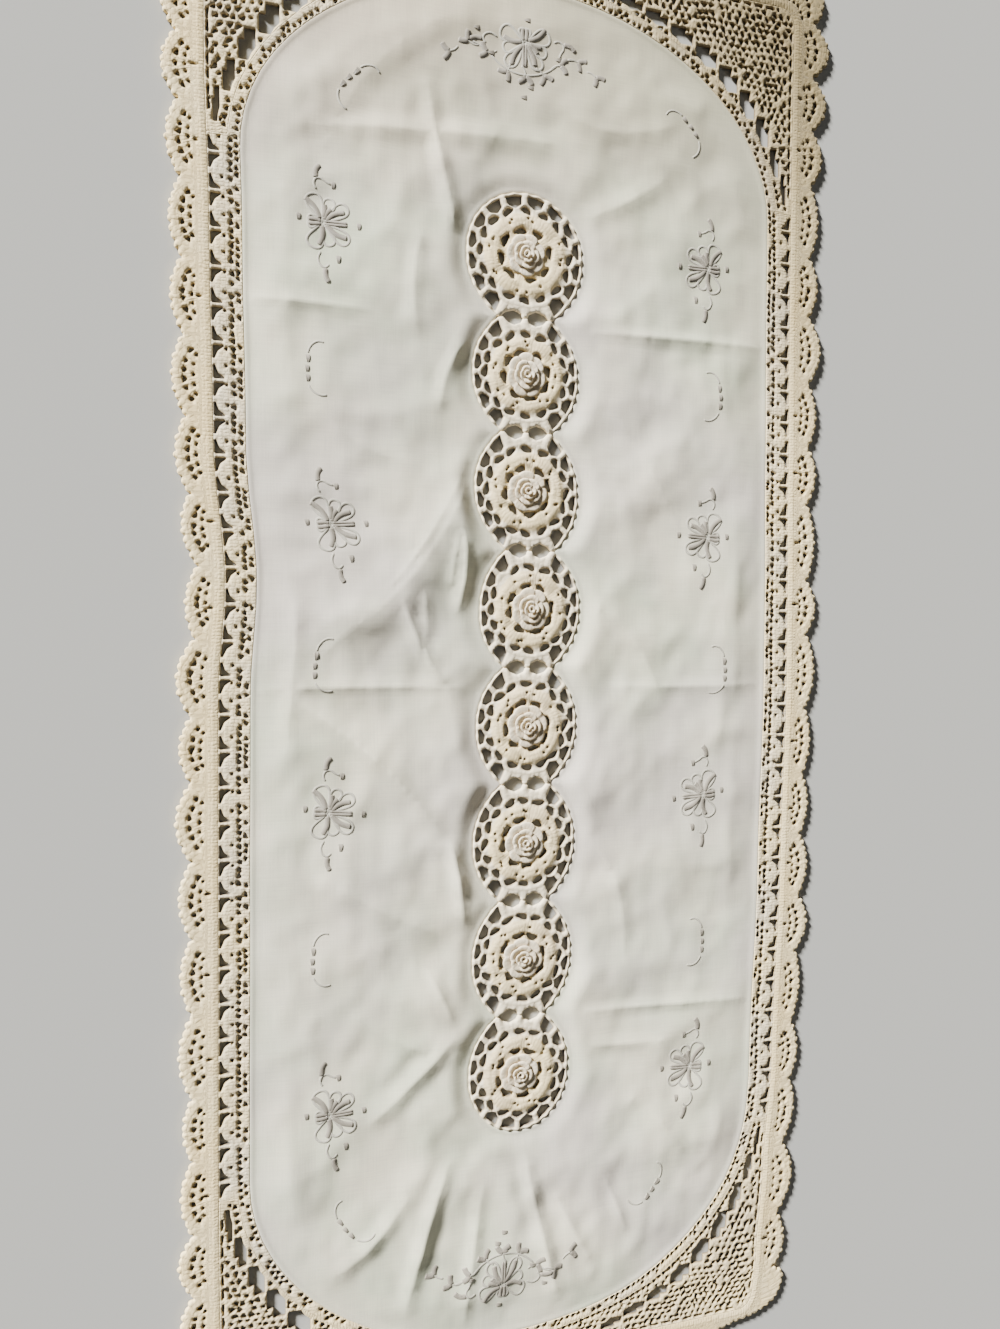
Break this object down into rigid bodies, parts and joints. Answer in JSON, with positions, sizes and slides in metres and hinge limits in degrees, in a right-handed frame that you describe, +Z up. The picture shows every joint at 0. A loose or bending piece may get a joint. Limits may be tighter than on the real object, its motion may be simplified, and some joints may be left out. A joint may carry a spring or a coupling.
{
  "type": "crochet table runner",
  "caption": "Flat oblong table runner: a linen oval with crocheted rose medallions down its middle, edged, cornered and bordered in crochet with scallops.",
  "frame": {"origin": "centre of the runner's outline, on the surface it lies on", "axes": "+X across the runner, +Y along it, +Z up from the surface"},
  "size_m": [0.4022, 0.8734, 0.0064],
  "materials": {
    "linen": "matte pale grey-white plain weave with pressed creases",
    "lace_cotton": "matte ecru mercerised crochet cotton",
    "rose_cotton": "matte ecru crochet cotton, raised roses"
  },
  "bodies": {
    "root": {"linen_panel": "linen", "oval_edging": "lace_cotton", "corner_net_1": "lace_cotton", "corner_net_2": "lace_cotton", "corner_net_3": "lace_cotton", "corner_net_4": "lace_cotton", "outer_border": "lace_cotton", "medallion_1": "rose_cotton", "medallion_2": "rose_cotton", "medallion_3": "rose_cotton", "medallion_4": "rose_cotton", "medallion_5": "rose_cotton", "medallion_6": "rose_cotton", "medallion_7": "rose_cotton", "medallion_8": "rose_cotton"}
  },
  "joints": []
}
